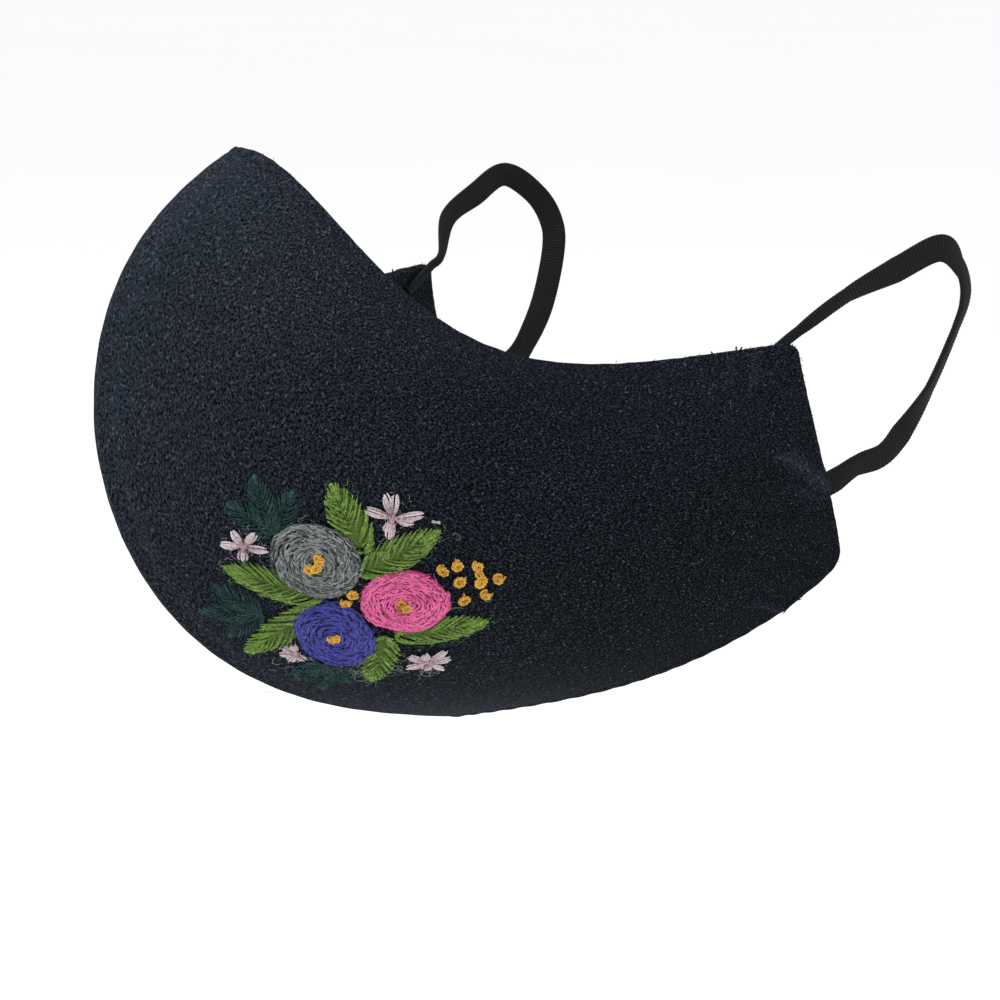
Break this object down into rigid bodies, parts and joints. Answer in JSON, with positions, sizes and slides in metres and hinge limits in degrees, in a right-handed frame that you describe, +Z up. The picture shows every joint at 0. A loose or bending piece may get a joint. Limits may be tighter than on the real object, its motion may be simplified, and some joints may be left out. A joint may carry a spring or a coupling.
{
  "type": "cloth face mask",
  "caption": "Worn cup-shaped cloth face mask of two seamed panels with flat elastic ear loops and an embroidered bouquet on one cheek.",
  "frame": {"origin": "top of the centre seam, where the mask sits on the bridge of the nose", "axes": "+X to the wearer's left, +Y backwards towards the face, +Z up"},
  "size_m": [0.1444, 0.1449, 0.1126],
  "materials": {
    "cloth": "dull black crepe weave",
    "elastic": "dull black ribbed knit",
    "grey_thread": "soft matt thread",
    "pink_thread": "soft matt thread",
    "violet_thread": "soft matt thread",
    "leaf_thread": "soft matt thread",
    "dark_thread": "soft matt thread",
    "pale_thread": "soft matt thread",
    "yellow_thread": "soft matt thread"
  },
  "bodies": {
    "root": {"panel_left": "cloth", "panel_right": "cloth", "ear_loop_left": "elastic", "ear_loop_right": "elastic", "rose_grey": "grey_thread", "rose_pink": "pink_thread", "rose_violet": "violet_thread", "leaf_1": "leaf_thread", "leaf_2": "leaf_thread", "leaf_3": "leaf_thread", "leaf_4": "leaf_thread", "leaf_5": "leaf_thread", "leaf_6": "leaf_thread", "sprig_top": "dark_thread", "sprig_side": "dark_thread", "sprig_low": "dark_thread", "daisy_1": "pale_thread", "daisy_2": "pale_thread", "daisy_3": "pale_thread", "daisy_4": "pale_thread", "knot_1": "yellow_thread", "knot_2": "yellow_thread", "knot_3": "yellow_thread", "knot_4": "yellow_thread", "knot_5": "yellow_thread", "knot_6": "yellow_thread", "knot_7": "yellow_thread", "knot_8": "yellow_thread", "knot_9": "yellow_thread", "knot_10": "yellow_thread"}
  },
  "joints": []
}
